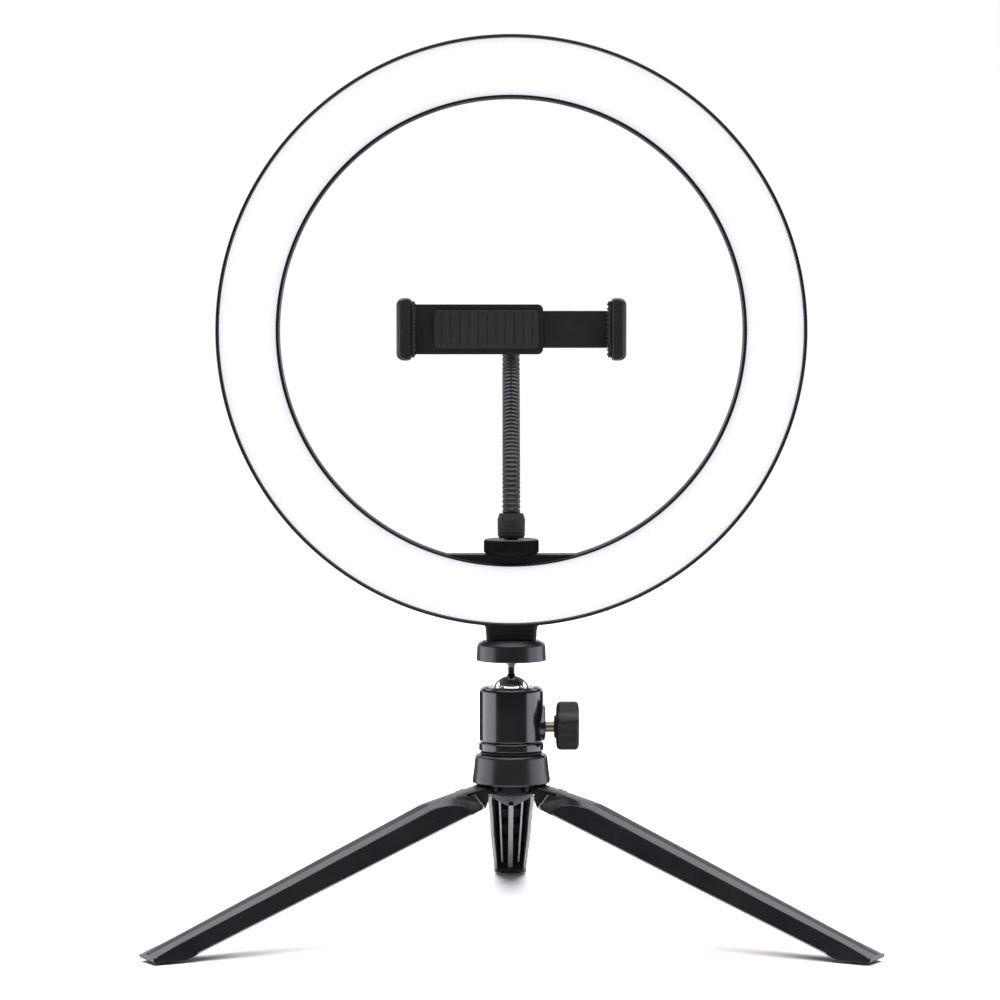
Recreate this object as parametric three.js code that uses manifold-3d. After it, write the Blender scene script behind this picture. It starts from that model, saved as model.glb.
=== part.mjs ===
// Ring light on a ball head and a folding mini tripod, with a phone clamp on a gooseneck.
// Millimetres, +Z up. The hub's axis is the Z axis, the floor is z = 0 and the lamp faces -Y.
import * as THREE from "three";
import { mergeVertices } from "three/addons/utils/BufferGeometryUtils.js";
import Module from "manifold-3d";

const wasm = await Module();
wasm.setup();

// ---- Driving dimensions ----
const GAP = 0.3;
const STUD_R = 3.15;
const STUD_BORE_R = 3.45;

const LAMP_Z = 264.8;
const RING_OUTER_R = 130;
const RING_INNER_R = 102.2;
const RING_DEPTH = 16;
const RIM = 1.2;
const BACK_PLATE = 2.2;
const STUB_BOTTOM_Z = 128.7;
const PLATFORM_TOP_Z = 166.5;
const LED_R = 116;
const LED_COUNT = 18;

const BALL_Z = 103.2;
const BALL_R = 9.5;
const SOCKET_R = 9.85;
const HEAD_R = 14.1;
const KNOB_Z = 89.8;

const PIVOT_R = 11.6;
const PIVOT_Z = 63.9;
const KNUCKLE_R = 3;
const KNUCKLE_W = 11.6;
const SLOT_W = 12.2;
const PIN_R = 1.5;
const LEGS = [
  { name: "front_right", azimuth: -30 },
  { name: "front_left", azimuth: -150 },
  { name: "rear", azimuth: 90 },
];

const CLAMP_Z = 265.7;
const CLAMP_BALL_Y = 14;
const CLAMP_BALL_R = 6;
const CLAMP_SOCKET_R = 6.35;
const JAW_OPEN = 84;
const HOSE_R = 4;

// ---- Materials ----
const finish = (color, roughness, metalness) =>
  new THREE.MeshStandardMaterial({ color, roughness, metalness });
const GLOSS_BLACK = finish(0x0c0c0e, 0.25, 0);
const SATIN_BLACK = finish(0x18181a, 0.5, 0);
const MATT_BLACK = finish(0x101012, 0.8, 0);
const LEG_GREY = finish(0x2c2b31, 0.45, 0);
const RUBBER = finish(0x151516, 0.95, 0);
const CHROME = finish(0xd8d8da, 0.12, 1);
const STEEL = finish(0x9a9a9c, 0.35, 1);
const BRASS = finish(0xb8924a, 0.35, 1);
const DIFFUSER_WHITE = finish(0xfaf9f5, 0.6, 0);
const BOARD_WHITE = finish(0xe8e8e2, 0.7, 0);

// ---- Solids from three.js geometry ----
function solid(geometry) {
  const bare = geometry.index ? geometry.toNonIndexed() : geometry.clone();
  bare.deleteAttribute("normal");
  bare.deleteAttribute("uv");
  const merged = mergeVertices(bare, 1e-4);
  const index = merged.index.array;
  const kept = [];
  for (let i = 0; i < index.length; i += 3) {
    const [a, b, c] = [index[i], index[i + 1], index[i + 2]];
    if (a !== b && b !== c && c !== a) kept.push([a, b, c]);
  }
  const build = (triangles) =>
    new wasm.Manifold(
      new wasm.Mesh({
        numProp: 3,
        vertProperties: merged.attributes.position.array,
        triVerts: new Uint32Array(triangles.flat()),
      }),
    );
  const made = build(kept);
  return made.volume() < 0 ? build(kept.map(([a, b, c]) => [a, c, b])) : made;
}

// A profile of [radius, height] points turned about Z. It starts and ends on the axis, or is closed here.
function turnedGeometry(profile, segments = 28) {
  const points = profile.map(([r, z]) => new THREE.Vector2(r, z));
  const onAxis = profile[0][0] === 0 && profile.at(-1)[0] === 0;
  if (!onAxis) points.push(points[0].clone());
  return new THREE.LatheGeometry(points, segments).rotateX(Math.PI / 2);
}

const turned = (profile, segments) => solid(turnedGeometry(profile, segments));

// The same about the X axis at y = 0 and height z: profile heights run along +X.
const turnedX = (profile, z, segments = 20) =>
  solid(turnedGeometry(profile, segments).rotateY(Math.PI / 2).translate(0, 0, z));

// The same about an axis along +Y through (x, z).
const turnedY = (profile, x, z, segments = 20) =>
  solid(turnedGeometry(profile, segments).rotateX(-Math.PI / 2).translate(x, 0, z));

const rod = (r, z0, z1, segments = 20) => turned([[0, z0], [r, z0], [r, z1], [0, z1]], segments);

const rodX = (r, x0, x1, z, segments = 16) =>
  turnedX([[0, x0], [r, x0], [r, x1], [0, x1]], z, segments);

const rodY = (r, y0, y1, x, z, segments = 16) =>
  turnedY([[0, y0], [r, y0], [r, y1], [0, y1]], x, z, segments);

function block([x0, x1], [y0, y1], [z0, z1]) {
  const box = new THREE.BoxGeometry(x1 - x0, y1 - y0, z1 - z0);
  return solid(box.translate((x0 + x1) / 2, (y0 + y1) / 2, (z0 + z1) / 2));
}

const polygon = (points) => new THREE.Shape(points.map(([a, b]) => new THREE.Vector2(a, b)));

function roundedRectangle([a0, a1], [b0, b1], radius) {
  const shape = new THREE.Shape();
  shape.moveTo(a0 + radius, b0);
  shape.lineTo(a1 - radius, b0);
  shape.absarc(a1 - radius, b0 + radius, radius, -Math.PI / 2, 0);
  shape.lineTo(a1, b1 - radius);
  shape.absarc(a1 - radius, b1 - radius, radius, 0, Math.PI / 2);
  shape.lineTo(a0 + radius, b1);
  shape.absarc(a0 + radius, b1 - radius, radius, Math.PI / 2, Math.PI);
  shape.lineTo(a0, b0 + radius);
  shape.absarc(a0 + radius, b0 + radius, radius, Math.PI, 1.5 * Math.PI);
  return shape;
}

const extrusion = (shape, depth, bevel = 0) =>
  new THREE.ExtrudeGeometry(shape, {
    depth: depth - 2 * bevel,
    bevelEnabled: bevel > 0,
    bevelThickness: bevel,
    bevelSize: bevel,
    bevelOffset: -bevel,
    bevelSegments: 1,
    curveSegments: 3,
  }).translate(0, 0, bevel);

// A shape in X and Y, raised from z0 to z1.
const prism = (shape, [z0, z1], bevel) =>
  solid(extrusion(shape, z1 - z0, bevel).translate(0, 0, z0));

// A shape in X and Z, carried from y0 to y1.
const prismY = (shape, [y0, y1], bevel) =>
  solid(extrusion(shape, y1 - y0, bevel).rotateX(Math.PI / 2).translate(0, y1, 0));

// Sections with the same number of [x, y, z] corners, joined into one closed body. Each section is convex.
function loft(sections) {
  const positions = [];
  const triangle = (...corners) => corners.forEach((corner) => positions.push(...corner));
  const quad = (a, b, c, d) => {
    triangle(a, b, c);
    triangle(a, c, d);
  };
  for (let i = 0; i + 1 < sections.length; i++) {
    const near = sections[i];
    const far = sections[i + 1];
    for (let k = 0; k < near.length; k++) {
      const next = (k + 1) % near.length;
      quad(near[k], near[next], far[next], far[k]);
    }
  }
  const cap = (corners) => {
    for (let k = 1; k + 1 < corners.length; k++) triangle(corners[0], corners[k], corners[k + 1]);
  };
  cap(sections[0].toReversed());
  cap(sections.at(-1));
  const geometry = new THREE.BufferGeometry();
  return solid(geometry.setAttribute("position", new THREE.Float32BufferAttribute(positions, 3)));
}

// Points on a sphere's cross-section, from one angle above its equator to another.
function arc(radius, centre, from, to, steps) {
  const points = [];
  for (let i = 0; i <= steps; i++) {
    const angle = THREE.MathUtils.degToRad(from + ((to - from) * i) / steps);
    points.push([radius * Math.cos(angle), centre + radius * Math.sin(angle)]);
  }
  return points;
}

function sphereProfile(radius, centre, steps = 12) {
  const points = arc(radius, centre, -90, 90, steps);
  points[0][0] = 0;
  points[steps][0] = 0;
  return points;
}

const group = new THREE.Group();

function add(name, body, material, azimuth = 0) {
  const mesh = body.getMesh();
  const count = mesh.vertProperties.length / mesh.numProp;
  const positions = new Float32Array(count * 3);
  for (let i = 0; i < count; i++) {
    const start = i * mesh.numProp;
    positions.set(mesh.vertProperties.subarray(start, start + 3), i * 3);
  }
  const geometry = new THREE.BufferGeometry();
  geometry.setAttribute("position", new THREE.BufferAttribute(positions, 3));
  geometry.setIndex(new THREE.BufferAttribute(mesh.triVerts, 1));
  geometry.rotateZ(THREE.MathUtils.degToRad(azimuth));
  geometry.computeVertexNormals();
  const node = new THREE.Mesh(geometry, material);
  node.name = name;
  group.add(node);
}

// ---- Lamp ----
const ringSegments = 54;
const front = -RING_DEPTH / 2;
const back = RING_DEPTH / 2;
const channelBack = back - BACK_PLATE;

function housing() {
  const ring = turnedY(
    [
      [RING_OUTER_R - 0.6, front],
      [RING_OUTER_R, front + 0.8],
      [RING_OUTER_R, back - 3],
      [RING_OUTER_R - 2, back],
      [RING_INNER_R + 2, back],
      [RING_INNER_R, back - 3],
      [RING_INNER_R, front + 0.8],
      [RING_INNER_R + 0.6, front],
      [RING_INNER_R + RIM, front],
      [RING_INNER_R + RIM, channelBack],
      [RING_OUTER_R - RIM, channelBack],
      [RING_OUTER_R - RIM, front],
    ],
    0,
    LAMP_Z,
    ringSegments,
  );
  const stubShape = roundedRectangle([-11.3, 11.3], [-7.6, 7.6], 4);
  const inRing = rodY(RING_OUTER_R - 0.6, -20, 20, 0, LAMP_Z, ringSegments);
  const stub = prism(stubShape, [STUB_BOTTOM_Z, STUB_BOTTOM_Z + 10]).subtract(inRing);
  const inWindow = rodY(RING_INNER_R + 0.6, -20, 20, 0, LAMP_Z, ringSegments);
  const platform = block([-40, 40], [-7.2, 7.2], [158, PLATFORM_TOP_Z]).intersect(inWindow);
  let body = ring.add(stub).add(platform);
  body = body.subtract(rod(4.9, STUB_BOTTOM_Z - 1, 134.6));
  body = body.subtract(rod(STUD_BORE_R, 163, PLATFORM_TOP_Z + 1));
  rearScrewSpots().forEach(([x, z]) => {
    body = body.subtract(rodY(1.3, 0, back + 1, x, z, 8));
    body = body.subtract(rodY(2.6, 6.6, back + 1, x, z, 12));
  });
  const [inletX, inletZ] = inletSpot();
  return body.subtract(rodY(3.4, 0, back + 1, inletX, inletZ, 14));
}

function onLedCircle(degrees) {
  const angle = THREE.MathUtils.degToRad(degrees);
  return [LED_R * Math.cos(angle), LAMP_Z + LED_R * Math.sin(angle)];
}

const rearScrewSpots = () => [30, 90, 150, 210, 270, 330].map(onLedCircle);
const inletSpot = () => onLedCircle(247.5);

const diffuser = () =>
  turnedY(
    [
      [103.8, -2.5],
      [103.8, -6.9],
      [105.2, -7.6],
      [116.1, -8],
      [127, -7.6],
      [128.4, -6.9],
      [128.4, -2.5],
      [126.9, -2.5],
      [126.9, -6.2],
      [105.3, -6.2],
      [105.3, -2.5],
    ],
    0,
    LAMP_Z,
    ringSegments,
  );

function ledBoard() {
  const board = [
    [106, 4],
    [126, 4],
    [126, 5.5],
    [106, 5.5],
  ];
  let body = turnedY(board, 0, LAMP_Z, ringSegments);
  for (let i = 0; i < LED_COUNT; i++) {
    const [x, z] = onLedCircle(((i + 0.5) * 360) / LED_COUNT);
    body = body.add(block([x - 1.75, x + 1.75], [3.3, 4.5], [z - 1.75, z + 1.75]));
  }
  rearScrewSpots().forEach(([x, z]) => {
    body = body.subtract(rodY(1.3, 3, 6, x, z, 8));
  });
  const [inletX, inletZ] = inletSpot();
  return body.subtract(rodY(3.4, 3, 6, inletX, inletZ, 14));
}

const rearScrew = ([x, z]) =>
  turnedY([[0, 3.4], [1, 3.4], [1, 6.9], [2.3, 6.9], [2.3, 7.5], [1.7, 7.9], [0, 7.9]], x, z, 10);

const threadInsert = () =>
  turned([[STUD_BORE_R, 129], [4.6, 129], [4.6, 134.3], [STUD_BORE_R, 134.3]], 20);

function cableInlet() {
  const profile = [[1.9, 4.6], [3, 4.6], [3, 8.3], [5, 8.3], [5, 9.4], [4, 10.2], [1.9, 10.2]];
  const [x, z] = inletSpot();
  return turnedY(profile, x, z, 14);
}

function buildLamp() {
  add("rear_housing", housing(), SATIN_BLACK);
  add("diffuser", diffuser(), DIFFUSER_WHITE);
  add("led_board", ledBoard(), BOARD_WHITE);
  rearScrewSpots().forEach((spot, i) => add("rear_screw_" + (i + 1), rearScrew(spot), STEEL));
  add("thread_insert", threadInsert(), BRASS);
  add("cable_inlet", cableInlet(), RUBBER);
  add("holder_stud", rod(STUD_R, 163.3, 178.6), STEEL);
}

// ---- Ball head ----
const headBody = () => {
  const outside = turned([
    [0, 83.5],
    [13.8, 83.5],
    [HEAD_R, 83.9],
    [HEAD_R, 106.6],
    [13.4, 107.4],
    [12.5, 107.4],
    [12.5, 104.3],
    [9.95, 104.3],
    [9.95, 88],
    [0, 88],
  ]);
  const boss = turnedX([[0, 11], [6.2, 11], [6.2, 14.6], [5.6, 15.2], [0, 15.2]], KNOB_Z);
  return outside.add(boss).subtract(rodX(2.7, 5, 16, KNOB_Z));
};

function ballRetainer() {
  const ring = turned([
    [12.2, 104.6],
    [12.2, 107.5],
    [11.6, 107.9],
    ...arc(SOCKET_R, BALL_Z, 28.5, 8.2, 3),
  ]);
  const notch = (x) => block([x - 1.2, x + 1.2], [-1.1, 1.1], [106.2, 109]);
  return ring.subtract(notch(-11)).subtract(notch(11));
}

const brakeCup = () =>
  turned([
    [0, 88.3],
    [9.4, 88.3],
    [9.4, 98.4],
    ...arc(SOCKET_R, BALL_Z, -29.2, -90, 6).slice(0, -1),
    [0, BALL_Z - SOCKET_R],
  ]);

const ballStem = () =>
  turned(
    [
      [0, 113],
      [1.35, 113],
      [1.35, 115.4],
      [2.9, 116.6],
      [2.9, 119],
      [STUD_R, 119.2],
      [STUD_R, 133.6],
      [2.6, 134.2],
      [0, 134.2],
    ],
    20,
  );

const platformDisc = () =>
  turned([
    [STUD_BORE_R, 119.3],
    [15.1, 119.3],
    [15.4, 119.6],
    [15, 126.4],
    [14.3, 127.8],
    [13.2, 128.3],
    [10.9, 128.3],
    [10.9, 127.4],
    [STUD_BORE_R, 127.4],
  ]);

const platformPad = () =>
  turned([[STUD_BORE_R, 127.7], [10.6, 127.7], [10.6, 128.4], [STUD_BORE_R, 128.4]]);

const headBase = () =>
  turned([[STUD_BORE_R, 79.4], [14, 79.4], [14.3, 79.8], [14.3, 82.8], [14, 83.2], [STUD_BORE_R, 83.2]]);

const headWasher = () =>
  turned([[STUD_BORE_R, 78.1], [13.6, 78.1], [13.6, 79.1], [STUD_BORE_R, 79.1]]);

function lobedOutline(radius, depth, lobes, steps) {
  const points = [];
  for (let i = 0; i < steps; i++) {
    const angle = (i / steps) * 2 * Math.PI;
    const r = radius - depth * (0.5 - 0.5 * Math.cos(lobes * angle));
    points.push([r * Math.cos(angle), r * Math.sin(angle)]);
  }
  return polygon(points);
}

function lockKnob() {
  const lobes = extrusion(lobedOutline(11.4, 2.6, 5, 30), 10.2, 0.9);
  lobes.rotateZ(Math.PI).translate(0, 0, 19.8);
  const grip = solid(lobes.rotateY(Math.PI / 2).translate(0, 0, KNOB_Z));
  const collar = turnedX([[0, 18.9], [4.4, 18.9], [5.4, 20], [5.4, 22], [0, 22]], KNOB_Z);
  return grip.add(collar).subtract(rodX(2.7, 18, 26, KNOB_Z));
}

function buildHead() {
  add("head_washer", headWasher(), RUBBER);
  add("head_base", headBase(), GLOSS_BLACK);
  add("head_body", headBody(), GLOSS_BLACK);
  add("ball_retainer", ballRetainer(), GLOSS_BLACK);
  add("brake_cup", brakeCup(), MATT_BLACK);
  add("knob_screw", rodX(2.4, 10, 25.7, KNOB_Z), BRASS);
  add("lock_knob", lockKnob(), GLOSS_BLACK);
  add("ball", turned(sphereProfile(BALL_R, BALL_Z)), CHROME);
  add("ball_stem", ballStem(), CHROME);
  add("platform_disc", platformDisc(), SATIN_BLACK);
  add("platform_pad", platformPad(), RUBBER);
}

// ---- Tripod ----
const legTopZ = (u) => (u < 43.4 ? 64.6 - (u - 15) * 0.2324 : 58 - (u - 43.4) * 0.4063);
const legUnderZ = (u) => 56 - (u - 18.9) * 0.3849;

// Half widths of the leg: of its flat top, of the shoulder that far below the top, and of its foot.
const legSections = [
  { u: 14, top: 7, shoulder: 10.3, drop: 8, foot: 10.6 },
  { u: 22, top: 6, shoulder: 10, drop: 7, foot: 10.6 },
  { u: 28.4, top: 5, shoulder: 9, drop: 4.5, foot: 10.6 },
  { u: 34, top: 4.2, shoulder: 8, drop: 2.6, foot: 10.5 },
  { u: 43.4, top: 3.2, shoulder: 7.2, drop: 1.5, foot: 10.2 },
  { u: 60, top: 2.7, shoulder: 6.9, drop: 1.3, foot: 9.9 },
  { u: 120, top: 2.4, shoulder: 6.4, drop: 1.3, foot: 8.9 },
  { u: 180, top: 2.2, shoulder: 5.8, drop: 1, foot: 7.9 },
];

function legLoft(wall) {
  const above = 0.4;
  return loft(
    legSections.map(({ u, top, shoulder, drop, foot }) => {
      const high = legTopZ(u) + above;
      const mid = legTopZ(u) - drop;
      const low = Math.min(legUnderZ(u), mid) - 1;
      const highHalf = top - ((shoulder - top) * above) / drop - 0.4 * wall;
      return [
        [u, -highHalf, high],
        [u, highHalf, high],
        [u, shoulder - wall, mid],
        [u, foot - wall, low],
        [u, wall - foot, low],
        [u, wall - shoulder, mid],
      ];
    }),
  );
}

function legShell() {
  const outline = polygon([
    [15, 64.6],
    [15, 62.6],
    [16.6, 59.4],
    [18.9, 56],
    [162.3, 0.8],
    [176.7, 0.8],
    [177.6, 1.6],
    [177.6, 3.47],
    [43.4, 58],
  ]);
  const insideOutline = polygon([
    [24.4, 60.3],
    [24.4, 40],
    [156, -6],
    [156, 9.6],
    [43.4, 56],
  ]);
  return [prismY(outline, [-13, 13]), prismY(insideOutline, [-13, 13])];
}

function legRibs() {
  const raised = polygon([
    [18, 70],
    [18, legUnderZ(18) + 1],
    [170, legUnderZ(170) + 1],
    [170, 70],
  ]);
  let ribs = block([20, 160], [-1.1, 1.1], [-2, 70]);
  [-4.6, 4.6].forEach((y) => {
    ribs = ribs.add(block([30, 160], [y - 0.45, y + 0.45], [-2, 70]));
  });
  [38, 62, 90, 118, 142].forEach((u) => {
    const rib = block([u - 0.5, u + 0.5], [-12, 12], [legUnderZ(u) + 4.5, 70]);
    ribs = ribs.add(rib);
  });
  return ribs.intersect(prismY(raised, [-13, 13]));
}

function knuckle() {
  const edge = [];
  for (let degrees = 75; degrees <= 245; degrees += 17) {
    const angle = THREE.MathUtils.degToRad(degrees);
    edge.push([PIVOT_R + KNUCKLE_R * Math.cos(angle), PIVOT_Z + KNUCKLE_R * Math.sin(angle)]);
  }
  const outline = polygon([...edge, [18.9, 56], [25.5, legUnderZ(25.5)], [25.5, 61], [15, 64]]);
  return prismY(outline, [-KNUCKLE_W / 2, KNUCKLE_W / 2]);
}

function leg() {
  const [outer, inside] = legShell();
  const cavity = inside.intersect(legLoft(1.8)).subtract(legRibs());
  const pinHole = rodY(PIN_R + GAP, -12, 12, PIVOT_R, PIVOT_Z);
  const padPocket = block([163.7, 175.3], [-4.9, 4.9], [-1, 2.2]);
  const webHole = rod(1.3, 50, 57.6, 16).translate([21.6, 0, 0]);
  const body = outer.intersect(legLoft(0)).add(knuckle()).subtract(cavity);
  return body.subtract(pinHole).subtract(padPocket).subtract(webHole);
}

function hubCore() {
  let body = turned([
    [0, 59.9],
    [10.6, 59.9],
    [12.4, 61.2],
    [13.9, 64.2],
    [13.9, 74.6],
    [13, 75.5],
    [0, 75.5],
  ]);
  body = body.subtract(rod(STUD_BORE_R, 50, 80)).subtract(rod(5.4, 50, 66.3));
  LEGS.forEach(({ azimuth }) => {
    const slot = block([7.6, 20], [-SLOT_W / 2, SLOT_W / 2], [50, 67.3]);
    const pinHole = rodY(PIN_R + GAP, -12, 12, PIVOT_R, PIVOT_Z);
    body = body.subtract(slot.add(pinHole).rotate([0, 0, azimuth]));
  });
  return body;
}

const hubCover = () =>
  turned([
    [STUD_BORE_R, 77.8],
    [STUD_BORE_R, 75.9],
    [14.5, 75.9],
    [15.7, 65],
    [17.2, 65],
    [16.4, 73],
    [15.9, 77.2],
    [15.2, 77.8],
  ]);

const hubStud = () =>
  turned([[0, 63], [5, 63], [5, 66], [STUD_R, 66], [STUD_R, 82.4], [2.7, 82.9], [0, 82.9]], 20);

const legPin = () => rodY(PIN_R, -7.2, 7.2, PIVOT_R, PIVOT_Z, 12);

const footPad = () => block([164, 175], [-4.6, 4.6], [0, 1.9]);

function buildTripod() {
  add("hub_core", hubCore(), MATT_BLACK);
  add("hub_cover", hubCover(), LEG_GREY);
  add("hub_stud", hubStud(), STEEL);
  LEGS.forEach(({ name, azimuth }) => {
    add("leg_" + name, leg(), LEG_GREY, azimuth);
    add("leg_pin_" + name, legPin(), STEEL, azimuth);
    add("foot_pad_" + name, footPad(), RUBBER, azimuth);
  });
}

// ---- Phone holder ----
function knurledOutline(outer, inner, teeth) {
  const points = [];
  for (let i = 0; i < 2 * teeth; i++) {
    const angle = (i / teeth) * Math.PI;
    const r = i % 2 ? inner : outer;
    points.push([r * Math.cos(angle), r * Math.sin(angle)]);
  }
  return polygon(points);
}

const lockWheel = () =>
  prism(knurledOutline(12.2, 11.6, 28), [166.8, 173.2], 0.5).subtract(rod(STUD_BORE_R, 160, 180));

const baseFerrule = () =>
  turned([
    [0, 179],
    [STUD_BORE_R, 179],
    [STUD_BORE_R, 173.5],
    [5.6, 173.5],
    [6.2, 174.2],
    [6.2, 181.5],
    [5.4, 184.5],
    [4.35, 184.5],
    [4.35, 179.8],
    [0, 179.8],
  ]);

// A round hose along points in the Y-Z plane.
function hose(points) {
  const circle = new THREE.Shape().absarc(0, 0, HOSE_R, 0, 2 * Math.PI);
  const path = new THREE.CatmullRomCurve3(points.map(([y, z]) => new THREE.Vector3(0, y, z)));
  const settings = { steps: 2 * points.length, curveSegments: 6, extrudePath: path };
  return solid(new THREE.ExtrudeGeometry(circle, settings));
}

function arcPoints([cy, cz], radius, from, to, steps) {
  return arc(radius, cz, from, to, steps).map(([y, z]) => [cy + y, z]);
}

const hoseLean = 42;
const leanSin = Math.sin(THREE.MathUtils.degToRad(hoseLean));
const leanCos = Math.cos(THREE.MathUtils.degToRad(hoseLean));
const bendPoint = [23.9, 223.9];
const alongHose = (distance) => [bendPoint[0] + distance * leanSin, bendPoint[1] + distance * leanCos];

const ballEnd = ([y, z]) => {
  const ball = turnedGeometry(sphereProfile(HOSE_R, 0, 6), 12).rotateX(THREE.MathUtils.degToRad(-hoseLean));
  return solid(ball.translate(0, y, z));
};

function gooseneckLower() {
  const bend = arcPoints([40, 182], 40, 180, 180 - hoseLean, 5);
  const end = alongHose(-4.2);
  return hose([[0, 180.1], [0, 181], ...bend, alongHose(-12), end]).add(ballEnd(end));
}

function gooseneckUpper() {
  const bend = arcPoints([32.3, CLAMP_Z - 13], 13, -hoseLean, 90, 8);
  const start = alongHose(4.2);
  return hose([start, alongHose(12), ...bend, [29, CLAMP_Z], [25.6, CLAMP_Z]]).add(ballEnd(start));
}

const topFerrule = () =>
  turnedY(
    [
      [0, 20.4],
      [2.2, 20.4],
      [2.2, 22.8],
      [4.6, 22.8],
      [5.2, 23.4],
      [5.2, 30.4],
      [4.35, 30.4],
      [4.35, 25.2],
      [0, 25.2],
    ],
    0,
    CLAMP_Z,
  );

const topBall = () => turnedY(sphereProfile(CLAMP_BALL_R, CLAMP_BALL_Y, 10), 0, CLAMP_Z, 18);

const socketNut = () =>
  turnedY(
    [
      [7.4, 7.4],
      [9.2, 7.4],
      [9.2, 17.6],
      [8.2, 18.4],
      ...arc(CLAMP_SOCKET_R, CLAMP_BALL_Y, 44, 4, 4),
      [7.4, 13.6],
    ],
    0,
    CLAMP_Z,
    24,
  );

const jawZ = [CLAMP_Z - 13.7, CLAMP_Z + 13.7];

function clampBody() {
  const jaw = prismY(roundedRectangle([-50.4, -43.8], jawZ, 2.4), [-14, 5], 0.6);
  const tube = prismY(roundedRectangle([-47, 14], [CLAMP_Z - 11, CLAMP_Z + 11], 2), [-2, 5]);
  const seat = turnedY(
    [
      [0, 4],
      [7, 4],
      [7, 13.3],
      ...arc(CLAMP_SOCKET_R, CLAMP_BALL_Y, -7, -90, 5).slice(0, -1),
      [0, CLAMP_BALL_Y - CLAMP_SOCKET_R],
    ],
    0,
    CLAMP_Z,
  );
  const channel = block([-41, 20], [-0.5, 3.5], [CLAMP_Z - 8.6, CLAMP_Z + 8.6]);
  return jaw.add(tube).add(seat).subtract(channel);
}

function slidingJaw() {
  const jaw = prismY(roundedRectangle([43.8, 50.4], jawZ, 2.4), [-14, 5], 0.6);
  const tongue = block([-8, 46], [-0.2, 3.2], [CLAMP_Z - 8.2, CLAMP_Z + 8.2]);
  const springSlot = block([-10, 36], [0.8, 4], [CLAMP_Z - 3, CLAMP_Z + 3]);
  return jaw.add(tongue.subtract(springSlot));
}

function jawPad(side) {
  const x0 = side * (JAW_OPEN / 2);
  const x1 = side * (JAW_OPEN / 2 + 1.5);
  const shape = roundedRectangle([Math.min(x0, x1), Math.max(x0, x1)], [jawZ[0] + 1.4, jawZ[1] - 1.4], 0.5);
  return prismY(shape, [-13, -3.6]);
}

const backPad = () =>
  prismY(roundedRectangle([-34, 12], [CLAMP_Z - 8.5, CLAMP_Z + 8.5], 2), [-3.3, -2.3]);

function tensionSpring() {
  const wire = polygon([[0.35, 0], [0, 0.35], [-0.35, 0], [0, -0.35]]);
  const turns = 10;
  const points = [];
  for (let i = 0; i <= turns * 6; i++) {
    const angle = (i / 6) * 2 * Math.PI;
    const x = -38 + (i / (turns * 6)) * 71;
    points.push(new THREE.Vector3(x, 2 + 0.7 * Math.cos(angle), CLAMP_Z + 2 * Math.sin(angle)));
  }
  const path = new THREE.CatmullRomCurve3(points);
  const settings = { steps: turns * 6, extrudePath: path };
  return solid(new THREE.ExtrudeGeometry(wire, settings));
}

function buildHolder() {
  add("lock_wheel", lockWheel(), SATIN_BLACK);
  add("base_ferrule", baseFerrule(), MATT_BLACK);
  add("gooseneck_lower", gooseneckLower(), SATIN_BLACK);
  add("gooseneck_upper", gooseneckUpper(), SATIN_BLACK);
  add("top_ferrule", topFerrule(), MATT_BLACK);
  add("top_ball", topBall(), CHROME);
  add("socket_nut", socketNut(), MATT_BLACK);
  add("clamp_body", clampBody(), SATIN_BLACK);
  add("sliding_jaw", slidingJaw(), SATIN_BLACK);
  add("jaw_pad_fixed", jawPad(-1), RUBBER);
  add("jaw_pad_sliding", jawPad(1), RUBBER);
  add("back_pad", backPad(), RUBBER);
  add("tension_spring", tensionSpring(), STEEL);
}

buildTripod();
buildHead();
buildLamp();
buildHolder();

// The floor stays at z = 0, and the whole is centred front to back.
const bounds = new THREE.Box3().setFromObject(group);
const shift = -(bounds.min.y + bounds.max.y) / 2;
group.children.forEach((node) => node.geometry.translate(0, shift, 0));
console.log("hub axis at y = " + shift.toFixed(4) + " mm");

export default group;
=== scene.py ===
"""Ring light on a folding mini tripod, with a phone clamp on a gooseneck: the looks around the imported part.

Shapes are written in millimetres in the part's own frame: x right, y back and z up, from the point of
the floor below the hub. A leg's shapes use u, the distance out from the hub's axis, in place of x.
"""

import math

import bmesh
import bpy
from mathutils import Matrix, Vector


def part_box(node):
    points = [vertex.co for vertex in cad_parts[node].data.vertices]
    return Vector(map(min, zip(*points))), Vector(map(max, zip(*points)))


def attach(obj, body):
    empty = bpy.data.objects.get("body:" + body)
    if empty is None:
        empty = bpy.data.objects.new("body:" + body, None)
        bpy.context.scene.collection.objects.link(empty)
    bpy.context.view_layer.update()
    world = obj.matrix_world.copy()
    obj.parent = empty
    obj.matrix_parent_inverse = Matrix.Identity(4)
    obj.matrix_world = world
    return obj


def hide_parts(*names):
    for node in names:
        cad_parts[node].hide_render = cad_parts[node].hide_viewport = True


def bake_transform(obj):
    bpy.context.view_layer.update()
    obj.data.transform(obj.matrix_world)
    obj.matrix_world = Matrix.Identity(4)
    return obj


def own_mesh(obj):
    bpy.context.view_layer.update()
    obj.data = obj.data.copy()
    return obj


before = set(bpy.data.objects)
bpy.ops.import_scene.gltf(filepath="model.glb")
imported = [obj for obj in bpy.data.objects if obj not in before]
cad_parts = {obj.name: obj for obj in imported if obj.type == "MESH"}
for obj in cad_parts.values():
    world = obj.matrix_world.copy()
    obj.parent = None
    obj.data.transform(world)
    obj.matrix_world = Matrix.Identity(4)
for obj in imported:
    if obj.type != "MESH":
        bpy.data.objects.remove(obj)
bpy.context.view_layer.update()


def middle(node):
    low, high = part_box(node)
    return [(a + b) / 2 for a, b in zip(low, high)]


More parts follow.
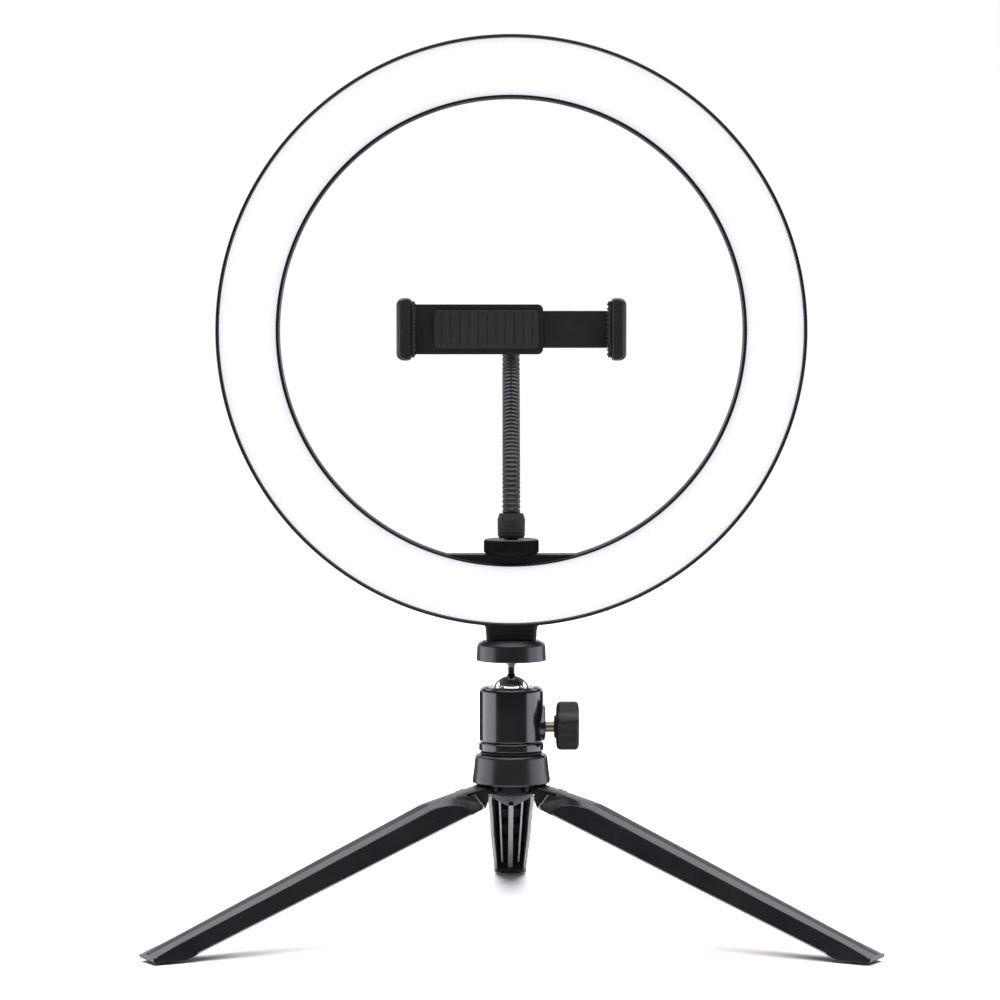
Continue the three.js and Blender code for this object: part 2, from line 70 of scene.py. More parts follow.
MM = 0.001
HUB_X, HUB_Y, _ = middle("hub_core")
LAMP_Z = middle("diffuser")[2] / MM
BALL_Z = middle("ball")[2] / MM
KNOB_Z = middle("knob_screw")[2] / MM
CLAMP_Z = middle("top_ball")[2] / MM
CLAMP_BALL_Y = (middle("top_ball")[1] - HUB_Y) / MM
LEGS = {"front_right": -30, "front_left": -150, "rear": 90}

# Sizes that several pieces share.
THREAD_R = 3.15
STUD_HOLE_R = 3.45
SHAFT_HOLE_R = 2.7
PIN_HOLE_R = 1.8
PIVOT_U, PIVOT_Z = 11.6, 63.9


def at(x, y, z):
    """A point of the part's frame, in millimetres, as a point of the row's frame in metres."""
    return Vector((HUB_X + x * MM, HUB_Y + y * MM, z * MM))


# ---- Materials ----
def surface(name, color, roughness, metallic=0.0, coat=0.0, specular=0.5):
    """A principled material with its constants on the sockets. Returns it, its nodes and its shader."""
    material = bpy.data.materials.new(name)
    material.use_nodes = True
    nodes = material.node_tree.nodes
    shader = nodes["Principled BSDF"]
    shader.inputs["Base Color"].default_value = (*color, 1)
    shader.inputs["Roughness"].default_value = roughness
    shader.inputs["Metallic"].default_value = metallic
    shader.inputs["Coat Weight"].default_value = coat
    shader.inputs["Coat Roughness"].default_value = 0.06
    shader.inputs["IOR"].default_value = 1.5
    shader.inputs["Specular IOR Level"].default_value = specular
    return material, nodes, shader


def link(material, source, target):
    material.node_tree.links.new(source, target)


def noise(material, nodes, scale, detail=4.0, stretch=(1, 1, 1)):
    """Noise in the object's own coordinates, in features per metre."""
    place = nodes.new("ShaderNodeTexCoord")
    mapping = nodes.new("ShaderNodeMapping")
    mapping.inputs["Scale"].default_value = stretch
    texture = nodes.new("ShaderNodeTexNoise")
    texture.inputs["Scale"].default_value = scale
    texture.inputs["Detail"].default_value = detail
    link(material, place.outputs["Object"], mapping.inputs["Vector"])
    link(material, mapping.outputs["Vector"], texture.inputs["Vector"])
    return texture.outputs["Fac"]


def spread(material, nodes, value, low, high, start=0.3, end=0.7):
    """The value, mapped from start..end to low..high."""
    ramp = nodes.new("ShaderNodeMapRange")
    ramp.inputs["From Min"].default_value = start
    ramp.inputs["From Max"].default_value = end
    ramp.inputs["To Min"].default_value = low
    ramp.inputs["To Max"].default_value = high
    link(material, value, ramp.inputs["Value"])
    return ramp.outputs["Result"]


def tint(material, nodes, value, dark, light):
    mix = nodes.new("ShaderNodeMix")
    mix.data_type = "RGBA"
    mix.inputs["A"].default_value = (*dark, 1)
    mix.inputs["B"].default_value = (*light, 1)
    link(material, value, mix.inputs["Factor"])
    return mix.outputs["Result"]


def bump(material, nodes, height, shader, distance, strength=0.5):
    node = nodes.new("ShaderNodeBump")
    node.inputs["Distance"].default_value = distance
    node.inputs["Strength"].default_value = strength
    link(material, height, node.inputs["Height"])
    link(material, node.outputs["Normal"], shader.inputs["Normal"])


def moulded(name, color, roughness, grain=1400.0, depth=0.00004, wear=0.06, coat=0.0, specular=0.5):
    """Moulded or painted plastic: fine grain, uneven gloss, and faint handling marks in its colour."""
    material, nodes, shader = surface(name, color, roughness, coat=coat, specular=specular)
    broad = noise(material, nodes, 45, 3)
    fine = noise(material, nodes, grain, 3)
    rough = spread(material, nodes, broad, roughness - wear, roughness + wear)
    link(material, rough, shader.inputs["Roughness"])
    dark = [c * 0.85 for c in color]
    light = [c * 1.35 + 0.0008 for c in color]
    link(material, tint(material, nodes, broad, dark, light), shader.inputs["Base Color"])
    bump(material, nodes, fine, shader, depth)
    return material


def metal(name, color, roughness, stretch=(1, 1, 1)):
    """Metal with smears in its gloss and fine grain, which a stretch draws into lines across its axis."""
    material, nodes, shader = surface(name, color, roughness, metallic=1.0)
    lines = noise(material, nodes, 900, 4, stretch)
    smear = noise(material, nodes, 120, 5)
    rough = spread(material, nodes, smear, roughness, roughness + 0.05)
    link(material, rough, shader.inputs["Roughness"])
    shade = tint(material, nodes, smear, [c * 0.93 for c in color], color)
    link(material, shade, shader.inputs["Base Color"])
    bump(material, nodes, lines, shader, distance=0.000008, strength=0.3)
    return material


def glowing_diffuser():
    """Milky sheet lit from behind: even white, a little cooler and dimmer towards both rims."""
    middle_r, bright, rim = 116.1 * MM, 6.5 * MM, 12.6 * MM
    material, nodes, shader = surface("diffuser_glow", (0.1, 0.1, 0.1), 0.42, specular=0.35)
    place = nodes.new("ShaderNodeTexCoord")
    centre = nodes.new("ShaderNodeVectorMath")
    centre.operation = "SUBTRACT"
    centre.inputs[1].default_value = at(0, 0, LAMP_Z)
    flat = nodes.new("ShaderNodeVectorMath")
    flat.operation = "MULTIPLY"
    flat.inputs[1].default_value = (1, 0, 1)
    length = nodes.new("ShaderNodeVectorMath")
    length.operation = "LENGTH"
    link(material, place.outputs["Object"], centre.inputs[0])
    link(material, centre.outputs["Vector"], flat.inputs[0])
    link(material, flat.outputs["Vector"], length.inputs[0])
    offset = nodes.new("ShaderNodeMath")
    offset.operation = "SUBTRACT"
    offset.inputs[1].default_value = middle_r
    link(material, length.outputs["Value"], offset.inputs[0])
    away = nodes.new("ShaderNodeMath")
    away.operation = "ABSOLUTE"
    link(material, offset.outputs["Value"], away.inputs[0])
    edge = spread(material, nodes, away.outputs["Value"], 0, 1, bright, rim)
    glow = tint(material, nodes, edge, (1.0, 1.0, 1.0), (0.76, 0.755, 0.82))
    link(material, glow, shader.inputs["Emission Color"])
    mottle = noise(material, nodes, 500, 3)
    level = spread(material, nodes, mottle, 0.97, 1.03)
    link(material, level, shader.inputs["Emission Strength"])
    bump(material, nodes, mottle, shader, distance=0.00002, strength=0.3)
    return material


def circuit_board():
    """The white board behind the diffuser, which glows faintly itself."""
    material, nodes, shader = surface("circuit_board", (0.86, 0.86, 0.82), 0.5)
    tracks = noise(material, nodes, 220, 2)
    shade = tint(material, nodes, tracks, (0.8, 0.8, 0.75), (0.9, 0.9, 0.87))
    link(material, shade, shader.inputs["Base Color"])
    shader.inputs["Emission Color"].default_value = (1, 0.97, 0.92, 1)
    shader.inputs["Emission Strength"].default_value = 0.6
    bump(material, nodes, tracks, shader, 0.00005)
    return material


HEAD_PAINT = moulded("head_paint", (0.005, 0.005, 0.006), 0.2, grain=2200, depth=0.00001, wear=0.04, coat=0.4)
SATIN = moulded("satin_black", (0.012, 0.012, 0.013), 0.38)
HOUSING = moulded("housing_black", (0.003, 0.003, 0.0034), 0.5, grain=1800, depth=0.00003, specular=0.2)
# Black for the hub core and the leg knuckles; on the legs' insides, behind their root lines and on the wheel's
# sides it is painted shade.
BLACK_AND_SHADE = moulded("black_and_painted_shade", (0.003, 0.003, 0.0032), 0.6, specular=0.12)
KNOB = moulded("knob_black", (0.005, 0.005, 0.006), 0.5, specular=0.3)
# The leg's own colour with a dimmer sheen, for the sides of the root: painted shade.
LEG_ROOT_SHADED = moulded("leg_root_shaded", (0.007, 0.0063, 0.0078), 0.34, grain=1500, depth=0.00002, specular=0.2)
# A light grey with a strong sheen for a thin strip along the legs' lower edges: a painted highlight.
LEG_LINE_HIGHLIGHT = moulded("leg_line_highlight", (0.3, 0.285, 0.31), 0.35, grain=1500, depth=0.00002, specular=0.8)
# A paler grey with a strong sheen for the legs' rims, ribs, curved walls and the line at the root's end: a
# painted highlight.
LEG_EDGE_HIGHLIGHT = moulded("leg_edge_highlight", (0.13, 0.122, 0.138), 0.32, grain=1500, depth=0.00002, specular=0.9)
MATT = moulded("matt_black", (0.007, 0.007, 0.008), 0.62)
LEG = moulded("leg_violet_grey", (0.007, 0.0063, 0.0078), 0.28, grain=1500, depth=0.00002, wear=0.03)
HUB = moulded("hub_violet_grey", (0.009, 0.0083, 0.01), 0.3, grain=1500, depth=0.00002, wear=0.03)
RUBBER = moulded("rubber_black", (0.012, 0.012, 0.012), 0.82, grain=900, depth=0.0001, wear=0.08)
CHROME = metal("chrome", (0.82, 0.82, 0.84), 0.06)
STEEL = metal("steel", (0.52, 0.52, 0.54), 0.28, stretch=(1, 1, 12))
PIN_STEEL = metal("pin_steel", (0.03, 0.03, 0.032), 0.4)
SPRING_STEEL = metal("spring_steel", (0.42, 0.42, 0.43), 0.32)
BRASS = metal("brass", (0.66, 0.5, 0.26), 0.26)
BRONZE = metal("warm_bronze", (0.22, 0.175, 0.14), 0.34)
NICKEL = metal("dark_nickel", (0.4, 0.38, 0.4), 0.24)
GLOW = glowing_diffuser()
BOARD = circuit_board()


# ---- Mesh helpers ----
def piece(name, mesh, material, body, nodes, slot, bevel=0.0, steps=3, angle=32, more=()):
    """A finished piece from a bmesh in millimetres, riding on its body. more holds its further materials."""
    bmesh.ops.recalc_face_normals(mesh, faces=mesh.faces)
    mesh.transform(Matrix.Translation(at(0, 0, 0)) @ Matrix.Scale(MM, 4))
    data = bpy.data.meshes.new(name)
    mesh.to_mesh(data)
    mesh.free()
    data.polygons.foreach_set("use_smooth", [True] * len(data.polygons))
    for finish in (material, *more):
        data.materials.append(finish)
    made = bpy.data.objects.new(name, data)
    bpy.context.scene.collection.objects.link(made)
    if bevel:
        rounding = made.modifiers.new("edges", "BEVEL")
        rounding.width = bevel * MM
        rounding.segments = steps
        rounding.limit_method = "ANGLE"
        rounding.angle_limit = math.radians(angle)
        rounding.harden_normals = False
        data.set_sharp_from_angle(angle=math.radians(80))
    else:
        data.set_sharp_from_angle(angle=math.radians(38))
    made.modifiers.new("shading", "WEIGHTED_NORMAL").keep_sharp = True
    if body:
        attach(made, body)
    if nodes:
        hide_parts(*nodes)
    return made


def join(*meshes):
    """One bmesh of several closed parts."""
    whole = meshes[0]
    for other in meshes[1:]:
        data = bpy.data.meshes.new("part")
        other.to_mesh(data)
        other.free()
        whole.from_mesh(data)
        bpy.data.meshes.remove(data)
    return whole


def moved(mesh, matrix):
    mesh.transform(matrix)
    return mesh


def assigned(mesh, choose):
    """The mesh with each face's material slot chosen by its centre and normal."""
    bmesh.ops.recalc_face_normals(mesh, faces=mesh.faces)
    for face in mesh.faces:
        face.material_index = choose(face.calc_center_median(), face.normal)
    return mesh


def rings(loops):
    """A bmesh through closed loops of points, one loop after the other, with flat ends."""
    mesh = bmesh.new()
    rows = [[mesh.verts.new(point) for point in loop] for loop in loops]
    for near, far in zip(rows, rows[1:]):
        size = len(near)
        for k in range(size):
            mesh.faces.new((near[k], near[(k + 1) % size], far[(k + 1) % size], far[k]))
    mesh.faces.new(list(reversed(rows[0])))
    mesh.faces.new(rows[-1])
    return mesh


def filleted(profile, radius, closed):
    """The profile with its corners rounded by up to that radius."""
    steps = 3
    count = len(profile)
    out = []
    for i, point in enumerate(profile):
        if not closed and i in (0, count - 1):
            out.append(tuple(point))
            continue
        here = Vector(point)
        before = Vector(profile[i - 1]) - here
        after = Vector(profile[(i + 1) % count]) - here
        turn = math.pi - before.angle(after, 0)
        if turn < math.radians(12):
            out.append(tuple(point))
            continue
        size = min(radius, before.length * 0.45, after.length * 0.45)
        start = here + before.normalized() * size
        end = here + after.normalized() * size
        for k in range(steps + 1):
            t = k / steps
            out.append(tuple(start * (1 - t) ** 2 + here * 2 * t * (1 - t) + end * t**2))
    return out


def turned(profile, segments=96, radius=0.3):
    """A profile of (radius, height) turned about Z, its corners rounded by up to radius.

    The profile starts and ends on the axis, or else closes on itself.
    """
    on_axis = profile[0][0] == 0 and profile[-1][0] == 0
    points = filleted(profile, radius, not on_axis)
    mesh = bmesh.new()
    rows = []
    for r, z in points:
        if r < 1e-6:
            rows.append([mesh.verts.new((0, 0, z))])
            continue
        turns = [2 * math.pi * k / segments for k in range(segments)]
        rows.append([mesh.verts.new((r * math.cos(a), r * math.sin(a), z)) for a in turns])
    pairs = list(zip(rows, rows[1:]))
    if not on_axis:
        pairs.append((rows[-1], rows[0]))
    for near, far in pairs:
        for k in range(segments):
            n = (k + 1) % segments
            if len(near) == 1:
                mesh.faces.new((near[0], far[n], far[k]))
            elif len(far) == 1:
                mesh.faces.new((near[k], near[n], far[0]))
            else:
                mesh.faces.new((near[k], near[n], far[n], far[k]))
    return mesh


TO_X = Matrix.Rotation(math.radians(90), 4, "Y")
TO_Y = Matrix.Rotation(math.radians(-90), 4, "X")


def shift(x, y, z):
    return Matrix.Translation((x, y, z))


def about_z(degrees):
    return Matrix.Rotation(math.radians(degrees), 4, "Z")


def turned_y(profile, x, z, **options):
    """A profile of (radius, y) turned about a line along Y."""
    return moved(turned(profile, **options), shift(x, 0, z) @ TO_Y)


def on_circle(r, degrees, a=0.0, b=0.0):
    """A point of a circle round (a, b)."""
    angle = math.radians(degrees)
    return a + r * math.cos(angle), b + r * math.sin(angle)


def rectangle(a0, a1, b0, b1):
    return [(a0, b0), (a1, b0), (a1, b1), (a0, b1)]


def rounded_rectangle(a0, a1, b0, b1, radius):
    steps = 8
    corners = [(a1 - radius, b0 + radius, -90), (a1 - radius, b1 - radius, 0)]
    corners += [(a0 + radius, b1 - radius, 90), (a0 + radius, b0 + radius, 180)]
    points = []
    for a, b, start in corners:
        points += [on_circle(radius, start + 90 * k / steps, a, b) for k in range(steps + 1)]
    return points


def prism(outline, z0, z1):
    """A bar along Z with an outline of (x, y)."""
    return rings([[(x, y, z) for x, y in outline] for z in (z0, z1)])


def prism_y(outline, y0, y1):
    """A bar along Y with an outline of (x, z)."""
    return rings([[(x, y, z) for x, z in outline] for y in (y0, y1)])


def cut(mesh, *cutters):
    """The bmesh with the other closed bmeshes taken away."""
    made = []
    for item in (mesh, *cutters):
        bmesh.ops.recalc_face_normals(item, faces=item.faces)
        data = bpy.data.meshes.new("cutting")
        item.to_mesh(data)
        item.free()
        made.append(bpy.data.objects.new("cutting", data))
        bpy.context.scene.collection.objects.link(made[-1])
    for tool in made[1:]:
        modifier = made[0].modifiers.new("cut", "BOOLEAN")
        modifier.object = tool
        modifier.operation = "DIFFERENCE"
        modifier.solver = "EXACT"
    graph = bpy.context.evaluated_depsgraph_get()
    result = bmesh.new()
    result.from_object(made[0], graph)
    for item in made:
        bpy.data.objects.remove(item)
    return result


def sphere_arc(radius, centre, start, end, steps):
    """The profile of part of a ball, from one latitude in degrees to another."""
    return [on_circle(radius, start + (end - start) * k / steps, 0, centre) for k in range(steps + 1)]


def rod(r, z0, z1, segments=48):
    return turned([(0, z0), (r, z0), (r, z1), (0, z1)], segments=segments, radius=0.01)


def sweep(points, radii):
    """A round tube through points of the Y-Z plane, with a radius at each."""
    sides = 28
    loops = []
    for i, (y, z) in enumerate(points):
        y0, z0 = points[max(i - 1, 0)]
        y1, z1 = points[min(i + 1, len(points) - 1)]
        length = math.hypot(y1 - y0, z1 - z0)
        ty, tz = (y1 - y0) / length, (z1 - z0) / length
        loop = []
        for k in range(sides):
            a = 2 * math.pi * k / sides
            across, up = radii[i] * math.cos(a), radii[i] * math.sin(a)
            loop.append((across, y - up * tz, z + up * ty))
        loops.append(loop)
    return rings(loops)


# ---- Lamp ----
WINDOW_R = 102.2
LED_R = 116
SCREW_SPOTS = [on_circle(LED_R, a, 0, LAMP_Z) for a in (30, 90, 150, 210, 270, 330)]
INLET_SPOT = on_circle(LED_R, 247.5, 0, LAMP_Z)


def rod_y(r, y0, y1, x, z, **options):
    """A rod along Y through (x, z)."""
    return moved(rod(r, y0, y1, **options), shift(x, 0, z) @ TO_Y)


def build_housing():
    ring = turned_y(
        [
            (129.5, -8), (130, -7.3), (130, 4.6), (129.2, 6.8), (127.6, 8), (104.6, 8), (103, 6.8),
            (WINDOW_R, 4.6), (WINDOW_R, -7.3), (102.7, -8), (103.4, -8), (103.4, 5.8), (128.8, 5.8),
            (128.8, -8),
        ],
        0, LAMP_Z, segments=256, radius=0.35,
    )
    cutters = []
    for x, z in SCREW_SPOTS:
        cutters.append(rod_y(1.3, 0, 9, x, z))
        cutters.append(rod_y(2.6, 6.6, 9, x, z))
    cutters.append(rod_y(3.4, 0, 9, *INLET_SPOT))
    whole = join(cut(ring, *cutters), stub_block(), platform_block())
    piece("housing", whole, HOUSING, "lamp", ["rear_housing"], "satin_black", bevel=0.18, steps=2, angle=40)


def stub_block():
    """The neck below the ring: straight, then flaring into the rim in a small fillet."""
    half_width, half_depth = 10.95, 7.6
    levels = [
        (128.7, -0.7), (128.9, -0.3), (129.4, 0.05), (130.2, 0.2), (133.2, 0.35), (134.6, 0.6), (135.4, 1.2),
        (136, 2.2),
    ]
    loops = []
    for z, grow in levels:
        half = half_width + grow
        outline = rounded_rectangle(-half, half, -half_depth, half_depth, 2.2)
        loops.append([(x, y, z) for x, y in outline])
    inside_ring = rod_y(128.9, -20, 20, 0, LAMP_Z, segments=256)
    return cut(rings(loops), rod(4.9, 128, 134.6), inside_ring)


def platform_block():
    """The flat-topped block across the bottom of the window, its underside following the ring."""
    top = 166.5
    under_r = WINDOW_R + 0.6
    half = math.sqrt(under_r**2 - (LAMP_Z - top) ** 2)
    steps = 40
    under = []
    for k in range(steps + 1):
        x = -half + 2 * half * k / steps
        under.append((x, LAMP_Z - math.sqrt(under_r**2 - x**2)))
    outline = [(half, top), (-half, top)] + under[1:-1]
    return cut(prism_y(outline, -7.2, 7.2), rod(STUD_HOLE_R, 163, 168))


def build_diffuser():
    dome = 0.7
    crown = [(103.8, -2.5), (103.8, -6.7), (104.3, -7.2)]
    crown += [(104.3 + 23.6 * k / 16, -7.25 - dome * math.sin(math.pi * k / 16)) for k in range(1, 16)]
    crown += [
        (127.9, -7.2), (128.4, -6.7), (128.4, -2.5), (126.9, -2.5), (126.9, -5.9), (105.3, -5.9), (105.3, -2.5),
    ]
    mesh = turned_y(crown, 0, LAMP_Z, segments=256, radius=0.3)
    piece("diffuser_ring", mesh, GLOW, "lamp", ["diffuser"], "diffuser_white")


def cross_recess(r, depth, top):
    """The cutters for a cross-head: two crossed bars."""
    bars = []
    for turn in (0, 90):
        bar = prism(rectangle(-r, r, -0.32, 0.32), top - depth, top + 0.5)
        bars.append(moved(bar, about_z(turn + 20)))
    return bars


def build_rear_screws():
    """Six screws, each turned further than the one before, as driven by hand."""
    for i, (x, z) in enumerate(SCREW_SPOTS):
        head = turned([(0, 3.4), (1, 3.4), (1, 6.9), (2.3, 6.9), (2.3, 7.3), (1.9, 7.8), (0, 7.95)], 48, 0.2)
        screw = moved(cut(head, *cross_recess(1.25, 0.7, 7.9)), shift(x, 0, z) @ TO_Y @ about_z(37 * i))
        piece(f"rear_screw_head_{i + 1}", screw, STEEL, "lamp", [f"rear_screw_{i + 1}"], "steel")


def build_inlet():
    profile = [(1.9, 4.6), (3, 4.6), (3, 8.3), (5, 8.3), (5, 9.3), (4, 10.15), (1.9, 10.15)]
    grommet = turned_y(profile, *INLET_SPOT, segments=48)
    piece("inlet_grommet", grommet, RUBBER, "lamp", ["cable_inlet"], "rubber_black")


def threaded(z0, z1):
    """A 1/4-inch thread along Z: a helical ridge with chamfered ends."""
    pitch, ridge, chamfer, segments, per_turn = 1.27, 0.42, 0.6, 40, 10
    rows = []
    count = int((z1 - z0) / pitch * per_turn)
    for i in range(count + 1):
        z = z0 + (z1 - z0) * i / count
        row = []
        for k in range(segments):
            phase = ((z - z0) / pitch - k / segments) % 1.0
            depth = ridge * abs(2 * phase - 1)
            end = min(z - z0, z1 - z)
            radius = THREAD_R - depth - max(0.0, chamfer - end)
            a = 2 * math.pi * k / segments
            row.append((radius * math.cos(a), radius * math.sin(a), z))
        rows.append(row)
    return rings(rows)


def build_lamp():
    build_housing()
    build_diffuser()
    build_rear_screws()
    build_inlet()
    insert = turned(rectangle(STUD_HOLE_R, 4.6, 129, 134.3), 64)
    piece("stub_insert", insert, BRASS, "lamp", ["thread_insert"], "brass")
    piece("platform_stud", threaded(163.3, 178.6), STEEL, "lamp", ["holder_stud"], "steel")
    paint_cad("led_board", BOARD)


def paint_cad(node, material):
    """A CAD node kept as it is, with a material of this script."""
    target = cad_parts[node]
    target.data.materials.clear()
    target.data.materials.append(material)


# ---- Ball head ----
def shaft_hole(x0, x1):
    """The cutter for the knob's shaft."""
    return moved(rod(SHAFT_HOLE_R, x0, x1), shift(0, 0, KNOB_Z) @ TO_X)


def build_head():
    seat_r = 9.85
    body = turned(
        [
            (0, 83.5), (13.6, 83.5), (14.1, 84), (14.1, 105.9), (13.7, 107), (12.9, 107.4), (12.5, 107.4),
            (12.5, 104.3), (9.95, 104.3), (9.95, 88), (0, 88),
        ],
        128, 0.4,
    )
    whole = join(*[cut(part, shaft_hole(5, 16)) for part in (body, teardrop_boss())])
    piece("head_housing", whole, HEAD_PAINT, "head", ["head_body"], "head_metal", bevel=0.22, angle=35)
    ring = [(12.2, 104.6), (12.2, 107.3), (11.5, 107.85)] + sphere_arc(seat_r, BALL_Z, 28, 8.4, 8)
    notches = [prism(rectangle(s * 11 - 1.2, s * 11 + 1.2, -1.1, 1.1), 106.2, 109) for s in (-1, 1)]
    retainer = cut(turned(ring, 96, 0.25), *notches)
    piece("head_retainer", retainer, HEAD_PAINT, "head", ["ball_retainer"], "head_metal", bevel=0.12, steps=2)
    cup = [(0, 88.3), (9.4, 88.3), (9.4, 98.4)] + sphere_arc(seat_r, BALL_Z, -29.4, -89.9, 16) + [(0, 93.35)]
    piece("head_brake_cup", turned(cup, 64, 0.2), MATT, "head", ["brake_cup"], "matt_black")


def teardrop_boss():
    """The raised flat round the knob's shaft, drawn to a point above it."""
    round_r = 6.2
    outline = [on_circle(round_r, 150 + 240 * k / 48) for k in range(49)] + [(1.1, 9.6), (-1.1, 9.6)]
    loops = []
    for x, inset in ((11, 0), (14.3, 0), (14.9, 0.25), (15.2, 0.8)):
        scale = 1 - inset / round_r
        loops.append([(x, y * scale, KNOB_Z + z * scale) for y, z in outline])
    return rings(loops)


def build_knob():
    """A grip with five lobes that fade towards its ends, and its shaft."""
    outer_r, lobe_height, fade, segments = 10.0, 1.35, 5.2, 150
    stations = [
        (18.9, 5.4), (19.1, 5.1), (19.7, 4.7), (19.8, 2.6), (19.95, 1.4), (20.3, 0.7), (20.9, 0.2), (21.8, 0),
        (28.2, 0), (29.0, 0.2), (29.6, 0.7), (29.9, 1.4), (30, 2.4), (29.95, 4.4), (29.5, 5.4), (29.4, 8.0),
    ]
    loops = []
    for x, inset in stations:
        loop = []
        for k in range(segments):
            a = 2 * math.pi * k / segments
            lobe = max(0.0, 1 - inset / fade)
            wave = math.cos(5 * (a - math.pi / 2))
            r = (outer_r - inset) + lobe_height * lobe * (wave if wave > 0 else wave * 0.85)
            loop.append((x, r * math.cos(a), KNOB_Z + r * math.sin(a)))
        loops.append(loop)
    grip = cut(rings(loops), shaft_hole(18, 26))
    piece("knob_grip", grip, KNOB, "knob", ["lock_knob"], "gloss_black")
    shaft = turned([(0, 10), (1.9, 10), (2.4, 10.6), (2.4, 25.7), (0, 25.7)], segments=48)
    piece("knob_shaft", moved(shaft, shift(0, 0, KNOB_Z) @ TO_X), BRONZE, "knob", ["knob_screw"], "brass")


def build_ball_and_platform():
    ball_r, painted_dark_below = 9.5, 116.4
    ball = [(0, BALL_Z - ball_r)] + sphere_arc(ball_r, BALL_Z, -86, 86, 48) + [(0, BALL_Z + ball_r)]
    piece("swivel_ball", turned(ball, 96, 0.01), CHROME, "ball", ["ball"], "chrome")
    neck = [
        (0, 112.74), (1.3, 112.66), (1.9, 112.55), (1.95, 112.8), (1.5, 113.4), (1.5, 116.2), (1.7, 116.6),
        (2.75, 118.7), (2.75, 119.1), (THREAD_R, 119.2), (THREAD_R, 127.9), (0, 127.9),
    ]
    # The thin neck just above the ball is painted near-black, a painted dark reflection on the metal; the flare
    # above keeps the nickel.
    stem = assigned(turned(neck, 64, 0.2), lambda centre, normal: int(centre.z < painted_dark_below))
    stem = join(stem, threaded(127.8, 134.2))
    piece("swivel_stem", stem, NICKEL, "platform", ["ball_stem"], "chrome", more=[PIN_STEEL])
    disc = turned(
        [
            (STUD_HOLE_R, 119.3), (15.1, 119.3), (15.4, 119.65), (15.05, 126.3), (14.75, 126.95), (13.6, 127.6),
            (12.6, 128.2), (12.3, 128.3), (10.9, 128.3), (10.9, 127.4), (STUD_HOLE_R, 127.4),
        ],
        128, 0.3,
    )
    piece("platform_plate", disc, HUB, "platform", ["platform_disc"], "satin_black")
    pad = [(STUD_HOLE_R, 127.7), (10.6, 127.7), (10.6, 128.4)]
    for k in range(6):
        r = 10.1 - k * 1.1
        pad += [(r, 128.42), (r - 0.3, 128.2), (r - 0.7, 128.2)]
    pad.append((STUD_HOLE_R, 128.4))
    piece("platform_rubber", turned(pad, 96, 0.05), RUBBER, "platform", ["platform_pad"], "rubber_black")


def build_base():
    """The ring that the head turns on, and the washer below it."""
    base = [(STUD_HOLE_R, 79.4), (13.9, 79.4), (14.3, 79.8), (14.3, 82.8), (13.9, 83.2), (STUD_HOLE_R, 83.2)]
    piece("pan_base", turned(base, 128, 0.3), HEAD_PAINT, "tripod_hub", ["head_base"], "head_metal")
    washer = turned(rectangle(STUD_HOLE_R, 13.6, 78.1, 79.1), 96, 0.3)
    piece("base_washer", washer, RUBBER, "tripod_hub", ["head_washer"], "rubber_black")


# ---- Tripod ----
# A leg is written as it points along +X, and turned to its azimuth when it is done.
def leg_top(u):
    """The height of a leg's top: a gentle slope over the root, and a steeper one from there on."""
    return 64.6 - (u - 15) * 0.2324 if u < 43.4 else 58 - (u - 43.4) * 0.4063


def leg_under(u):
    """The height of a leg's lower edge, down to where it runs level above its foot pad."""
    return max(56 - (u - 18.9) * 0.3849, 0.8)


def along(table, u):
    """The table's value at u, in straight steps."""
    if u <= table[0][0]:
        return table[0][1]
    for (u0, v0), (u1, v1) in zip(table, table[1:]):
        if u <= u1:
            return v0 + (v1 - v0) * (u - u0) / (u1 - u0)
    return table[-1][1]


def between(table, u):
    """The table's value at u, joined smoothly."""
    if u <= table[0][0]:
        return table[0][1]
    for (u0, v0), (u1, v1) in zip(table, table[1:]):
        if u <= u1:
            t = (u - u0) / (u1 - u0)
            t = t * t * (3 - 2 * t)
            return v0 + (v1 - v0) * t
    return table[-1][1]


LEG_TIP = 177.6
TOP_HALF = [(14, 4.6), (28, 4.4), (36, 3.7), (46, 3.0), (60, 2.7), (120, 2.4), (180, 2.1)]
FOOT_HALF = [(14, 10.55), (28, 10.55), (44, 10.15), (60, 9.85), (180, 7.85)]
SHOULDER_DROP = [
    (26.3, 8.9), (26.6, 7.9), (27.2, 6.7), (28, 5.6), (29, 4.6), (30.5, 3.6), (32.5, 2.7), (35, 2.05),
    (38, 1.6), (42, 1.35), (50, 1.3), (120, 1.3), (180, 1.0),
]


def leg_width(u, z):
    """Half the leg's width at a height: a narrow top, a sloping band, and a nearly upright side below it."""
    low, high = leg_under(u), leg_top(u)
    edge = max(low + 0.01, high - along(SHOULDER_DROP, u))
    top, foot = between(TOP_HALF, u), between(FOOT_HALF, u)
    shoulder = foot - 0.31 * (edge - low)
    if u > 120:
        shoulder = max(shoulder, foot - 2.1)
    if z <= edge:
        return foot + (shoulder - foot) * (z - low) / (edge - low)
    t = (z - edge) / (high - edge)
    bulge = 1.5 * min(1.0, max(0.0, (high - edge - 1.3) / 7)) * 4 * t * (1 - t) * 0.5
    return shoulder + (top - shoulder) * t + bulge


ROOT_SLANT = [(0, 3.9), (0.4, 1.6), (0.8, 0.2), (1, 0)]


def leg_point(s, height, side, wall=0.0):
    """A point of the leg at station s: height 0 below to 1 above, side -1 or 1, in from the skin by wall."""
    fade = max(0.0, 1 - (s - 15) / 11)
    fade = fade * fade * (3 - 2 * fade)
    slant = between(ROOT_SLANT, height)
    u = min(s + slant * fade, LEG_TIP)
    low, high = leg_under(u), leg_top(u)
    z = low + (high - low) * height
    return u, side * (leg_width(u, z) - wall), z


